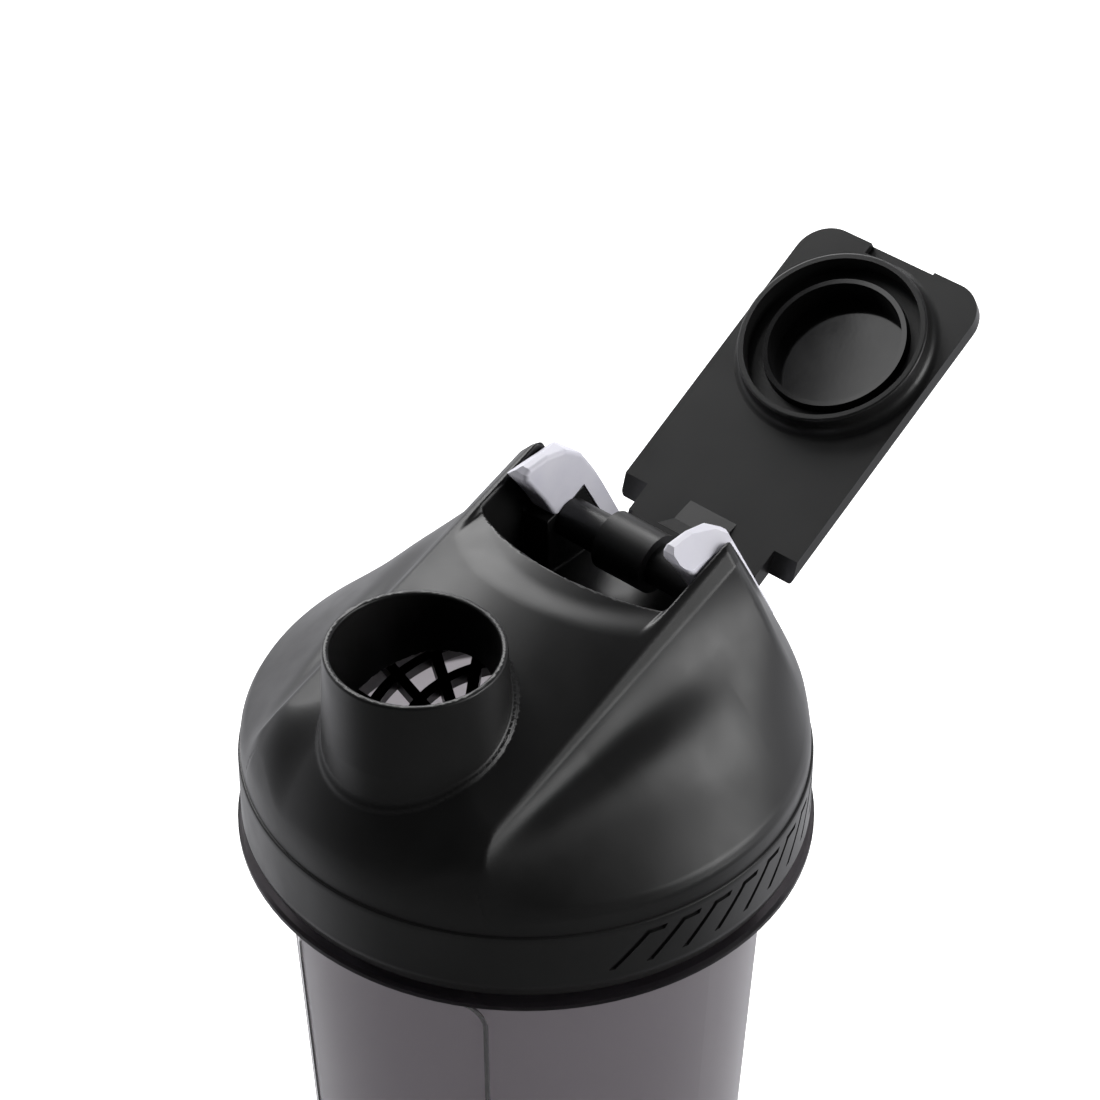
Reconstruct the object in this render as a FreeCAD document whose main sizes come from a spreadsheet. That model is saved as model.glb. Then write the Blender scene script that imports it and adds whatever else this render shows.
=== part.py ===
import FreeCAD, Part
import math
import os

import Sketcher
from FreeCAD import Placement, Rotation, Vector

# Shaker bottle with a screw lid, a front drinking spout, a strainer under the lid and a flip cap
# on a rear hinge. Millimetres. The axis of the cup is Z and the foot stands on Z = 0. The spout
# is at the front, towards -Y, and the hinge line runs along X at the back.
#
# Heights of the lid and of the cup's neck are counted from the crease, the line where the lid's
# collar ends and its top begins. It is `crease_height` above the foot.

DIMENSIONS = [
    # cup
    ("crease_height", 180.0),
    ("foot_radius", 32.6),
    ("base_radius", 33.9),
    ("base_round", 3.0),
    ("body_top_radius", 42.2),
    ("cup_wall", 1.9),
    ("floor_height", 3.0),
    ("floor_thickness", 2.2),
    ("flange_radius", 49.7),
    ("flange_bottom", -16.0),
    ("flange_top", -14.3),
    ("neck_radius", 44.0),
    ("neck_bore_radius", 41.9),
    ("rim_height", -1.6),
    # screw thread between the cup and the lid
    ("thread_pitch", 4.0),
    ("thread_turns", 1.5),
    ("thread_start", -11.6),
    ("thread_root", 2.4),
    ("thread_crest", 1.0),
    ("cup_thread_radius", 45.7),
    ("lid_thread_radius", 45.0),
    # lid
    ("collar_radius", 49.0),
    ("collar_bore_radius", 46.8),
    ("collar_bottom", -13.4),
    ("collar_chamfer", 2.2),
    ("dome_radius", 48.6),
    ("dome_round", 9.0),
    ("shell", 2.4),
    ("deck_height", 32.5),
    ("deck_slope", 0.335),
    ("deck_crown", 4.4),
    ("shelf_drop", 1.3),
    ("shelf_centre", 29.2),
    ("shelf_radius", 32.0),
    ("ridge_height", 26.6),
    ("ridge_inner", 22.4),
    ("ridge_outer", 23.9),
    ("pocket_half_width", 20.5),
    ("pocket_centre", 45.0),
    ("pocket_radius", 38.6),
    ("pocket_floor", 14.0),
    ("recess_front", 39.6),
    ("recess_floor", 12.4),
    ("lean_start", 7.0),
    ("lean_ratio", 0.46),
    ("cover_flush", 0.3),
    ("skirt_radius", 40.8),
    ("skirt_bore_radius", 38.6),
    ("skirt_bottom", -7.5),
    ("shelf_bottom", 0.2),
    ("shelf_top", 2.0),
    ("chevron_depth", 0.5),
    ("chevron_width", 0.75),
    ("chevron_pitch", 7.8),
    ("chevron_first", -31.8),
    ("chevron_count", 9),
    ("chevron_low", -8.9),
    ("chevron_bend", -2.4),
    ("chevron_lean", 6.4),
    ("chevron_foot", 3.3),
    # spout
    ("spout_centre", -26.6),
    ("spout_rim_height", 36.75),
    ("spout_rim_radius", 15.05),
    ("spout_root_radius", 15.7),
    ("spout_bore_radius", 13.95),
    # hinge
    ("hinge_back", 28.2),
    ("hinge_height", 23.7),
    ("pin_radius", 1.5),
    ("pin_half_length", 19.0),
    ("pin_fit", 0.02),
    ("pin_clearance", 0.06),
    ("block_inner", 14.9),
    ("cover_outer", 20.3),
    ("cover_slope_inner", 16.6),
    ("cover_slope_top", 39.6),
    ("cover_slope_drop", 3.4),
    ("cover_trim_low", 10.0),
    ("cover_trim_high", 42.0),
    ("cap_open_angle", 27.5),
    # flip cap, counted from the hinge line with the cap lying flat
    ("cap_face", -13.3),
    ("cap_thickness", 3.2),
    ("cap_half_width", 19.4),
    ("cap_start", 16.06),
    ("cap_bevel", 3.1),
    ("cap_end", 75.56),
    ("cap_corner", 6.5),
    ("tongue_half_width", 14.3),
    ("tongue_start", 9.36),
    ("knuckle_radius", 5.4),
    ("knuckle_half_width", 5.2),
    ("barrel_radius", 3.7),
    ("barrel_half_width", 14.7),
    ("ring_centre", 54.8),
    ("ring_outer_radius", 17.3),
    ("ring_inner_radius", 16.1),
    ("ring_height", 3.9),
    ("boss_radius", 15.6),
    ("boss_height", 2.6),
    ("plug_radius", 13.35),
    ("plug_tip_radius", 13.1),
    ("plug_wall", 0.9),
    ("plug_floor", 1.2),
    ("plug_depth", 4.6),
    ("plug_height", 1.8),
    ("thumb_half_width", 7.0),
    ("thumb_length", 2.2),
    ("thumb_depth", 1.2),
    # strainer and seal
    ("strainer_radius", 38.5),
    ("strainer_lip_radius", 35.6),
    ("strainer_bore_radius", 33.6),
    ("strainer_top", -0.1),
    ("strainer_bottom", -6.5),
    ("grid_thickness", 2.0),
    ("bar_width", 2.0),
    ("bar_offset", 10.5),
    ("bar_count", 20),
    ("hub_radius", 11.4),
    ("hub_hole_circle", 7.0),
    ("hub_hole_radius", 2.0),
    ("hub_hole_count", 6),
    ("seal_inner_radius", 41.2),
    ("seal_outer_radius", 45.0),
]

# Radii of the strainer's ring bars, at the middle of each bar.
GRID_RINGS = [28.0, 21.0, 14.5]

# Side views, as (distance back from the cup's axis, height above the crease).
COVER_OUTLINE = [
    (17.2, 37.4), (17.2, 38.7), (18.2, 39.5), (23.0, 39.5), (27.6, 38.4), (31.8, 35.2), (34.4, 31.2),
    (43.1, 14.0), (40.6, 12.7), (32.1, 28.55), (26.3, 25.95), (24.2, 26.4), (22.0, 30.3),
]
BLOCK_OUTLINE = [(22.6, 13.0), (23.4, 25.9), (26.3, 25.75), (32.0, 28.25), (39.0, 14.6), (39.0, 13.0)]
RIB_OUTLINE = [(12.0, 13.0), (12.0, 21.0), (15.0, 19.0), (26.0, 15.2), (26.0, 13.0)]
RIB_OFFSET = 10.0
RIB_HALF_WIDTH = 0.8
RIB_RELIEF = 5.2

# A length beyond the whole lid, for the solids that cut and trim it.
BEYOND = 60.0

doc = FreeCAD.newDocument("shaker_bottle")
sheet = doc.addObject("Spreadsheet::Sheet", "dims")
size = {}
for row, (alias, value) in enumerate(DIMENSIONS, start=1):
    sheet.set(f"A{row}", alias)
    sheet.set(f"B{row}", str(value))
    sheet.setAlias(f"B{row}", alias)
    size[alias] = value
doc.recompute()


def number(expression):
    """The value of a sheet expression, in millimetres or degrees."""
    return float(sheet.evalExpression(expression))


def new_body(label, back="0", height="0", tilt=None):
    """A body whose origin stands on the YZ plane at the given sheet expressions."""
    body = doc.addObject("PartDesign::Body", label)
    body.Label = label
    if tilt:
        body.Placement.Rotation = Rotation(Vector(1, 0, 0), 1)
        body.setExpression("Placement.Rotation.Angle", tilt)
    body.setExpression("Placement.Base.y", back)
    body.setExpression("Placement.Base.z", height)
    return body


def new_sketch(body, name, role, offset="0"):
    """An empty sketch on one of the body's own origin planes, moved along that plane's normal."""
    plane = [f for f in body.Origin.OriginFeatures if f.Role == role][0]
    sketch = body.newObject("Sketcher::SketchObject", name)
    sketch.AttachmentSupport = (plane, [""])
    sketch.MapMode = "FlatFace"
    sketch.setExpression("AttachmentOffset.Base.z", offset)
    return sketch


def bind(sketch, kind, geometry, point, expression):
    """Hold one coordinate of a sketch point at a sheet expression."""
    index = sketch.addConstraint(
        Sketcher.Constraint(kind, geometry, point, number(expression)))
    sketch.setExpression(f"Constraints[{index}]", expression)


def draw_outline(sketch, points):
    """Add a closed outline of straight lines; each corner is a pair of sheet expressions."""
    first = sketch.GeometryCount
    corners = [Vector(number(across), number(up), 0) for across, up in points]
    count = len(corners)
    for i in range(count):
        sketch.addGeometry(Part.LineSegment(corners[i], corners[(i + 1) % count]), False)
    for i in range(count):
        following = first + (i + 1) % count
        sketch.addConstraint(Sketcher.Constraint("Coincident", first + i, 2, following, 1))
    for i, (across, up) in enumerate(points):
        bind(sketch, "DistanceX", first + i, 1, across)
        bind(sketch, "DistanceY", first + i, 1, up)


def draw_circle(sketch, across, up, radius):
    """Add a circle whose centre and radius are sheet expressions."""
    centre = Vector(number(across), number(up), 0)
    index = sketch.addGeometry(
        Part.Circle(centre, Vector(0, 0, 1), number(radius)), False)
    bind(sketch, "DistanceX", index, 3, across)
    bind(sketch, "DistanceY", index, 3, up)
    constraint = sketch.addConstraint(Sketcher.Constraint("Radius", index, number(radius)))
    sketch.setExpression(f"Constraints[{constraint}]", radius)


def revolve(body, name, points):
    """Turn an outline in the XZ plane about the body's Z axis."""
    sketch = new_sketch(body, name + "_sketch", "XZ_Plane")
    draw_outline(sketch, points)
    feature = body.newObject("PartDesign::Revolution", name)
    feature.Profile = sketch
    feature.ReferenceAxis = (sketch, ["V_Axis"])
    feature.Angle = 360
    doc.recompute()
    return feature


def pad(body, name, sketch, length, both_ways=False, reverse=False):
    """Extrude a sketch by a sheet expression."""
    feature = body.newObject("PartDesign::Pad", name)
    feature.Profile = sketch
    feature.setExpression("Length", length)
    feature.Midplane = both_ways
    feature.Reversed = reverse
    doc.recompute()
    return feature


def pocket(body, name, sketch, length, both_ways=False, reverse=False):
    """Cut a sketch into the body and make sure that it did cut."""
    before = body.Shape.Volume
    feature = body.newObject("PartDesign::Pocket", name)
    feature.Profile = sketch
    feature.setExpression("Length", length)
    feature.Midplane = both_ways
    feature.Reversed = reverse
    doc.recompute()
    if body.Shape.Volume > before - 0.01:
        raise RuntimeError(f"{name} cuts nothing")
    return feature


def round_edges(body, name, radius, chosen):
    """Fillet the edges of the body's last feature that a test picks."""
    base = body.Tip
    names = [f"Edge{i + 1}" for i, edge in enumerate(base.Shape.Edges) if chosen(edge)]
    if not names:
        raise RuntimeError(f"{name} finds no edge")
    feature = body.newObject("PartDesign::Fillet", name)
    feature.Base = (base, names)
    feature.Radius = radius
    doc.recompute()
    return feature


def circle_edge_at(radius, height):
    """A test for full circles of one radius at one height."""
    def chosen(edge):
        curve = edge.Curve
        if not isinstance(curve, Part.Circle):
            return False
        return abs(curve.Radius - radius) < 0.05 and abs(curve.Center.z - height) < 0.05
    return chosen


# ---------------------------------------------------------------------------------- cup

def make_cup():
    body = new_body("cup", height="dims.crease_height")
    foot = "-dims.crease_height"
    revolve(body, "cup_wall", [
        ("0", f"{foot} + dims.floor_height"),
        ("dims.foot_radius - 5", f"{foot} + dims.floor_height"),
        ("dims.foot_radius - 3.5", foot),
        ("dims.foot_radius", foot),
        ("dims.base_radius", f"{foot} + dims.base_round"),
        ("dims.body_top_radius", "dims.flange_bottom"),
        ("dims.flange_radius - 0.4", "dims.flange_bottom"),
        ("dims.flange_radius", "dims.flange_bottom + 0.5"),
        ("dims.flange_radius", "dims.flange_top - 0.4"),
        ("dims.flange_radius - 0.6", "dims.flange_top"),
        ("dims.neck_radius", "dims.flange_top"),
        ("dims.neck_radius", "dims.rim_height - 0.4"),
        ("dims.neck_radius - 0.4", "dims.rim_height"),
        ("dims.neck_bore_radius", "dims.rim_height"),
        ("dims.neck_bore_radius", "dims.flange_top - 1"),
        ("dims.body_top_radius - dims.cup_wall", "dims.flange_bottom - 4"),
        ("dims.base_radius - dims.cup_wall", f"{foot} + dims.floor_height + 6"),
        ("dims.base_radius - dims.cup_wall - 4", f"{foot} + dims.floor_height + dims.floor_thickness"),
        ("0", f"{foot} + dims.floor_height + dims.floor_thickness"),
    ])
    foot_height = -size["crease_height"]
    round_edges(body, "base_round", 2.0, circle_edge_at(
        size["base_radius"], foot_height + size["base_round"]))
    thread_profile = new_sketch(body, "thread_profile", "XZ_Plane")
    inside = "dims.neck_radius - 0.3"
    draw_outline(thread_profile, [
        (inside, "dims.thread_start - dims.thread_root / 2"),
        ("dims.cup_thread_radius", "dims.thread_start - dims.thread_crest / 2"),
        ("dims.cup_thread_radius", "dims.thread_start + dims.thread_crest / 2"),
        (inside, "dims.thread_start + dims.thread_root / 2"),
    ])
    thread = body.newObject("PartDesign::AdditiveHelix", "cup_thread")
    thread.Profile = thread_profile
    thread.ReferenceAxis = (thread_profile, ["V_Axis"])
    thread.Mode = "pitch-turns-angle"
    thread.setExpression("Pitch", "dims.thread_pitch")
    thread.setExpression("Turns", "dims.thread_turns")
    doc.recompute()
    return body


# ---------------------------------------------------------------------------------- lid

def box(low, high):
    return Part.makeBox(*[b - a for a, b in zip(low, high)], Vector(*low))


def above(height):
    """All the space round the lid from a height upwards."""
    return box((-BEYOND, -BEYOND, height), (BEYOND, BEYOND, BEYOND))


def side_prism(points, left, right):
    """A prism with an outline in the YZ plane, from x = left to x = right."""
    corners = [Vector(left, back, height) for back, height in points]
    face = Part.Face(Part.makePolygon(corners + corners[:1]))
    return face.extrude(Vector(right - left, 0, 0))


def turned(points):
    """A solid of revolution about Z from (radius, height) corners."""
    corners = [Vector(radius, 0, height) for radius, height in points]
    face = Part.Face(Part.makePolygon(corners + corners[:1]))
    return face.revolve(Vector(0, 0, 0), Vector(0, 0, 1), 360)


# Steepness of the lid's side panels at stations along Y: (y, fall per mm away from the ridge).
PANEL_STATIONS = [(-52, 1.6), (-36, 1.25), (-20, 0.82), (-2, 0.9), (14, 1.2), (27, 1.8), (52, 2.6)]
# Shape of a panel across its width: (distance from the ridge, height above the straight fall).
PANEL_RELIEF = [(3.6, -1.7), (9.0, 0.5), (15.0, 0.2), (30.0, 0.0)]


def lid_section(station, steepness, drop, inset):
    """The lid's cross-section at one station, lowered by drop and narrowed by inset."""
    deck_centre = size["deck_height"] + size["deck_slope"] * station - drop
    deck_edge = deck_centre - size["deck_crown"]
    ridge = size["ridge_height"] + size["deck_slope"] * station - drop
    inner = size["ridge_inner"]
    outer = size["ridge_outer"] - inset
    half = []
    for across, relief in PANEL_RELIEF:
        half.append((outer + across, ridge - steepness * across + relief))
    ground = -60.0

    def at(across, height):
        return Vector(across, station, height)

    edges = []
    far, far_height = half[-1]
    for side in (1, -1):
        panel = [at(side * outer, ridge)] + [at(side * a, height) for a, height in half]
        spline = Part.BSplineCurve()
        spline.interpolate(panel)
        edges.append([
            Part.makeLine(at(side * inner, deck_edge), at(side * outer, ridge)),
            spline.toShape(),
            Part.makeLine(at(side * far, far_height), at(side * far, ground)),
        ])
    crown = Part.Arc(at(-inner, deck_edge), at(0, deck_centre), at(inner, deck_edge)).toShape()
    base = Part.makeLine(at(far, ground), at(-far, ground))
    return Part.Wire(Part.sortEdges([crown, *edges[0], base, *edges[1]])[0])


def lid_mass(drop, inset):
    """The lid's solid outline under its deck, ridges and side panels."""
    sections = [lid_section(y, fall, drop, inset) for y, fall in PANEL_STATIONS]
    return Part.makeLoft(sections, True, True)


def lid_round(inset, top):
    """The lid's round outline: the dome with a sloping, rounded top edge."""
    radius = size["dome_radius"] - inset
    dome = Part.makeCylinder(radius, 90, Vector(0, 0, -30))
    reach = 80
    rise = size["deck_slope"] * reach
    height = size["deck_height"] + top
    above = side_prism([(-reach, height - rise), (reach, height + rise), (reach, 120),
                        (-reach, 120)], -reach, reach)
    dome = dome.cut(above)
    rim = [edge for edge in dome.Edges if isinstance(edge.Curve, Part.Ellipse)]
    return dome.makeFillet(size["dome_round"] - inset, rim)


def leaning_dome(inset, top=90.0):
    """A round solid about Z: straight at its foot, then leaning inwards."""
    foot = size["dome_radius"] - inset
    start = size["lean_start"]
    return turned([(0, -40), (foot, -40), (foot, start),
                   (foot - size["lean_ratio"] * (top - start), top), (0, top)])


def behind_arc(centre, radius, half_width, low):
    """The space behind an arc in plan, between two side walls and above a floor."""
    drum = Part.makeCylinder(radius, 80, Vector(0, centre, low))
    return drum.common(box((-half_width, -20, low), (half_width, 90, low + 80)))


def above_shelf():
    """The space above the lower shelf at the back of the deck."""
    arcs = []
    front = -20.0
    for station in (front, BEYOND):
        centre = size["deck_height"] - size["shelf_drop"] + size["deck_slope"] * station
        half = size["pocket_half_width"]
        edge = centre - size["deck_crown"] * (half / size["ridge_inner"]) ** 2
        crown = Part.Arc(Vector(-half, station, edge), Vector(0, station, centre),
                         Vector(half, station, edge)).toShape()
        sides = Part.makePolygon([Vector(half, station, edge), Vector(half, station, BEYOND),
                                  Vector(-half, station, BEYOND), Vector(-half, station, edge)])
        arcs.append(Part.Wire([crown, *sides.Edges]))
    room = Part.makeLoft(arcs, True, True)
    drum = Part.makeCylinder(size["shelf_radius"], BEYOND, Vector(0, size["shelf_centre"], 0))
    return room.common(drum)


def helical_ridge(root_radius, crest_radius, start):
    """A trapezoid thread ridge wound about Z."""
    root = size["thread_root"] / 2
    crest = size["thread_crest"] / 2
    corners = [Vector(root_radius, 0, start - root), Vector(crest_radius, 0, start - crest),
               Vector(crest_radius, 0, start + crest), Vector(root_radius, 0, start + root)]
    profile = Part.makePolygon(corners + corners[:1])
    height = size["thread_pitch"] * size["thread_turns"]
    helix = Part.makeHelix(size["thread_pitch"], height, root_radius)
    helix.translate(Vector(0, 0, start))
    return Part.Wire(helix.Edges).makePipeShell([profile], True, True)


def chevron(angle, side):
    """A bent groove cut into the collar: a stroke leaning backwards, then a level foot."""
    radius = size["collar_radius"]
    half = size["chevron_width"] / 2
    low = size["chevron_low"]
    bend = size["chevron_bend"]
    lean = size["chevron_lean"]
    tip = lean + size["chevron_foot"]
    outline = [(0.0, low - half), (lean + half, bend - half), (tip, bend - half),
               (tip, bend + half), (lean - half, bend + half), (-half, low + half)]
    middle = lean / 2
    corners = [Vector(radius - 4, side * (along - middle), up) for along, up in outline]
    plate = Part.Face(Part.makePolygon(corners + corners[:1])).extrude(Vector(8, 0, 0))
    centre = angle + math.degrees(middle / radius)
    turn = centre if side > 0 else 180 - centre
    plate.rotate(Vector(0, 0, 0), Vector(0, 0, 1), turn)
    return plate


def hinge_rod(radius):
    """A rod along the hinge line, a little longer than the pin."""
    reach = size["pin_half_length"] + 0.5
    start = Vector(-reach, size["hinge_back"], size["hinge_height"])
    return Part.makeCylinder(radius, 2 * reach, start, Vector(1, 0, 0))


def make_lid():
    shell = size["shell"]
    crease = size["crease_height"]
    outside = lid_mass(0, 0).common(lid_round(0, 1.0)).common(leaning_dome(0))
    outside = outside.common(above(0))
    collar = turned([
        (0, 0.4), (0, size["collar_bottom"]),
        (size["collar_radius"] - 0.8, size["collar_bottom"]),
        (size["collar_radius"], size["collar_bottom"] + size["collar_chamfer"]),
        (size["collar_radius"], 0),
        (size["dome_radius"], 0.4),
    ])
    pocket_room = behind_arc(size["pocket_centre"], size["pocket_radius"],
                             size["pocket_half_width"], size["pocket_floor"])
    half_width = size["pocket_half_width"]
    pocket_room = pocket_room.fuse(box(
        (-half_width, size["recess_front"], size["recess_floor"]),
        (half_width, BEYOND, size["pocket_floor"] + 5)))
    outside = outside.cut(above_shelf()).fuse(collar).cut(pocket_room)

    inside = lid_mass(2.9, 0.8).common(lid_round(shell, -shell)).common(leaning_dome(shell))
    inside = inside.common(above(size["shelf_bottom"]))
    pocket_skin = behind_arc(size["pocket_centre"], size["pocket_radius"] + shell,
                             size["pocket_half_width"] + shell, size["pocket_floor"] - shell)
    pocket_skin = pocket_skin.fuse(box(
        (-half_width - shell, size["recess_front"] - shell, size["recess_floor"] - shell),
        (half_width + shell, BEYOND, size["pocket_floor"] + 5)))
    deck_skin = above_shelf()
    deck_skin.translate(Vector(0, 0, -shell))
    inside = inside.cut(pocket_skin).cut(deck_skin)
    bore = Part.makeCylinder(size["collar_bore_radius"], 0.3 - size["collar_bottom"],
                             Vector(0, 0, size["collar_bottom"]))
    lid = outside.cut(inside.fuse(bore))

    spout_root = 10.0
    tube = turned([(0, spout_root), (size["spout_root_radius"], spout_root),
                   (size["spout_root_radius"], 22.0),
                   (size["spout_rim_radius"], size["spout_rim_height"] - 0.25),
                   (size["spout_rim_radius"] - 0.25, size["spout_rim_height"]),
                   (0, size["spout_rim_height"])])
    tube.translate(Vector(0, size["spout_centre"], 0))
    bore = Part.makeCylinder(size["spout_bore_radius"], BEYOND,
                             Vector(0, size["spout_centre"], spout_root - 4))
    above_roof = above(0).cut(inside)
    lid = lid.fuse(tube.common(above_roof)).cut(bore)

    roof = lid_mass(0.5, 0).common(lid_round(0.5, 0.5)).common(leaning_dome(0.5))
    ring_height = BEYOND - size["skirt_bottom"]
    skirt = Part.makeCylinder(size["skirt_radius"], ring_height, Vector(0, 0, size["skirt_bottom"]))
    skirt = skirt.cut(Part.makeCylinder(size["skirt_bore_radius"], ring_height,
                                        Vector(0, 0, size["skirt_bottom"])))
    skirt = skirt.common(roof).cut(bore).cut(pocket_room)
    ledge = turned([(size["skirt_radius"] - 0.5, size["shelf_bottom"]),
                    (size["collar_bore_radius"] + 0.5, size["shelf_bottom"]),
                    (size["collar_bore_radius"] - 0.5, size["shelf_top"]),
                    (size["skirt_radius"] - 0.5, size["shelf_top"])])
    lid = lid.fuse([skirt, ledge])

    back = leaning_dome(0)
    for side in (1, -1):
        near = side * size["block_inner"]
        far = side * (size["pocket_half_width"] + 0.5)
        block = side_prism(BLOCK_OUTLINE, min(near, far), max(near, far))
        lid = lid.fuse(block.common(back))
        middle = side * RIB_OFFSET
        rib = side_prism(RIB_OUTLINE, middle - RIB_HALF_WIDTH, middle + RIB_HALF_WIDTH)
        lid = lid.fuse(rib.cut(hinge_rod(RIB_RELIEF)))
    lid = lid.cut(hinge_rod(size["pin_radius"] + size["pin_fit"]))

    thread = helical_ridge(size["collar_bore_radius"] + 0.3, size["lid_thread_radius"],
                           size["thread_start"] + size["thread_pitch"] / 2)
    lid = lid.fuse(thread)

    low = Vector(0, 0, size["collar_bottom"])
    skin = Part.makeCylinder(size["collar_radius"] + 1, -size["collar_bottom"], low).cut(
        Part.makeCylinder(size["collar_radius"] - size["chevron_depth"], -size["collar_bottom"], low))
    grooves = []
    for index in range(size["chevron_count"]):
        angle = size["chevron_first"] + size["chevron_pitch"] * index
        for side in (1, -1):
            grooves.append(chevron(angle, side))
    lid = lid.cut(skin.common(Part.Compound(grooves)))

    feature = doc.addObject("Part::Feature", "lid_shell")
    feature.Label = "lid_shell"
    feature.Shape = lid
    feature.Placement = Placement(Vector(0, 0, crease), Rotation())
    return feature


# ---------------------------------------------------------------------------------- flip cap

def make_flip_cap():
    body = new_body("flip_cap", "dims.hinge_back", "dims.crease_height + dims.hinge_height",
                    "dims.cap_open_angle")
    outer_face = "dims.cap_face - dims.cap_thickness"

    side = new_sketch(body, "plate_side", "YZ_Plane")
    draw_outline(side, [
        ("dims.cap_start - dims.cap_bevel", outer_face),
        ("dims.cap_end", outer_face),
        ("dims.cap_end", "dims.cap_face"),
        ("dims.cap_start", "dims.cap_face"),
    ])
    pad(body, "plate", side, "2 * dims.cap_half_width", both_ways=True)
    half_width = size["cap_half_width"]
    end = size["cap_end"]

    def far_corner(edge):
        middle = edge.CenterOfMass
        upright = abs(edge.Length - size["cap_thickness"]) < 0.01
        return upright and abs(abs(middle.x) - half_width) < 0.01 and abs(middle.y - end) < 0.01

    round_edges(body, "plate_corners", size["cap_corner"], far_corner)

    def outer_rim(edge):
        box_ = edge.BoundBox
        flat = box_.ZLength < 0.01 and abs(box_.ZMin - number(outer_face)) < 0.01
        return flat and box_.YMax > size["cap_start"] + 1

    round_edges(body, "outer_round", 0.9, outer_rim)

    tongue = new_sketch(body, "tongue_side", "YZ_Plane")
    draw_outline(tongue, [
        ("dims.tongue_start", outer_face),
        ("dims.cap_start + 3", outer_face),
        ("dims.cap_start + 3", "dims.cap_face"),
        ("dims.tongue_start + 1", "dims.cap_face"),
        ("dims.tongue_start", "dims.cap_face - 1"),
    ])
    pad(body, "tongue", tongue, "2 * dims.tongue_half_width", both_ways=True)

    arm = new_sketch(body, "arm_side", "YZ_Plane")
    draw_outline(arm, [
        ("2.5", "-6.3"),
        ("5.6", "-11"),
        ("dims.tongue_start", outer_face),
        ("dims.cap_start + 1", "dims.cap_face"),
        ("12.5", "-12.4"),
        ("9.4", "-9"),
        ("7", "-3.5"),
        ("6.6", "0"),
        ("0", "0"),
    ])
    pad(body, "arm", arm, "2 * dims.knuckle_half_width", both_ways=True)

    for name, radius, half in (("knuckle", "dims.knuckle_radius", "dims.knuckle_half_width"),
                               ("barrel", "dims.barrel_radius", "dims.barrel_half_width")):
        sketch = new_sketch(body, name + "_circle", "YZ_Plane")
        draw_circle(sketch, "0", "0", radius)
        pad(body, name, sketch, f"2 * {half}", both_ways=True)

    boss = new_sketch(body, "boss_circle", "XY_Plane", outer_face)
    draw_circle(boss, "0", "dims.ring_centre", "dims.boss_radius")
    pad(body, "boss", boss, "dims.boss_height", reverse=True)
    round_edges(body, "boss_round", 1.2, circle_edge_at(
        size["boss_radius"], number(outer_face) - size["boss_height"]))

    ring = new_sketch(body, "ring_circles", "XY_Plane", "dims.cap_face")
    draw_circle(ring, "0", "dims.ring_centre", "dims.ring_outer_radius")
    draw_circle(ring, "0", "dims.ring_centre", "dims.ring_inner_radius")
    pad(body, "ring", ring, "dims.ring_height")
    face_height = size["cap_face"]
    round_edges(body, "ring_root", 1.6, circle_edge_at(size["ring_outer_radius"], face_height))
    round_edges(body, "ring_rim", 0.4, circle_edge_at(
        size["ring_outer_radius"], face_height + size["ring_height"]))

    seat = new_sketch(body, "plug_seat_circle", "XY_Plane", "dims.cap_face")
    draw_circle(seat, "0", "dims.ring_centre", "dims.plug_radius + 0.05")
    pocket(body, "plug_seat", seat, "dims.plug_depth")

    thumb = new_sketch(body, "thumb_outline", "XY_Plane", "dims.cap_face")
    draw_outline(thumb, [
        ("-dims.thumb_half_width", "dims.cap_end - dims.thumb_length"),
        ("dims.thumb_half_width", "dims.cap_end - dims.thumb_length"),
        ("dims.thumb_half_width", "dims.cap_end + 1"),
        ("-dims.thumb_half_width", "dims.cap_end + 1"),
    ])
    pocket(body, "thumb_recess", thumb, "dims.thumb_depth")

    bore = new_sketch(body, "pin_bore_circle", "YZ_Plane")
    draw_circle(bore, "0", "0", "dims.pin_radius + dims.pin_clearance")
    pocket(body, "pin_bore", bore, "4 * dims.barrel_half_width", both_ways=True)
    return body


def make_spout_plug():
    body = new_body("spout_plug", "dims.hinge_back", "dims.crease_height + dims.hinge_height",
                    "dims.cap_open_angle")
    bottom = "dims.cap_face - dims.plug_depth + 0.05"
    sketch = new_sketch(body, "plug_section", "YZ_Plane")
    draw_outline(sketch, [
        ("dims.ring_centre", bottom),
        ("dims.ring_centre + dims.plug_radius", bottom),
        ("dims.ring_centre + dims.plug_radius", "dims.cap_face"),
        ("dims.ring_centre + dims.plug_tip_radius", "dims.cap_face + dims.plug_height"),
        ("dims.ring_centre + dims.plug_tip_radius - dims.plug_wall", "dims.cap_face + dims.plug_height"),
        ("dims.ring_centre + dims.plug_radius - dims.plug_wall - 0.2", f"{bottom} + dims.plug_floor"),
        ("dims.ring_centre", f"{bottom} + dims.plug_floor"),
    ])
    axis = sketch.addGeometry(Part.LineSegment(
        Vector(size["ring_centre"], -20, 0), Vector(size["ring_centre"], 0, 0)), True)
    for point in (1, 2):
        bind(sketch, "DistanceX", axis, point, "dims.ring_centre")
    feature = body.newObject("PartDesign::Revolution", "plug_cup")
    feature.Profile = sketch
    feature.ReferenceAxis = (sketch, ["Axis0"])
    feature.Angle = 360
    doc.recompute()
    return body


# ---------------------------------------------------------------------------------- hinge

def make_hinge_pin():
    body = new_body("hinge_pin", "dims.hinge_back", "dims.crease_height + dims.hinge_height")
    sketch = new_sketch(body, "pin_circle", "YZ_Plane")
    draw_circle(sketch, "0", "0", "dims.pin_radius")
    pad(body, "pin", sketch, "2 * dims.pin_half_length", both_ways=True)
    return body


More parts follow.
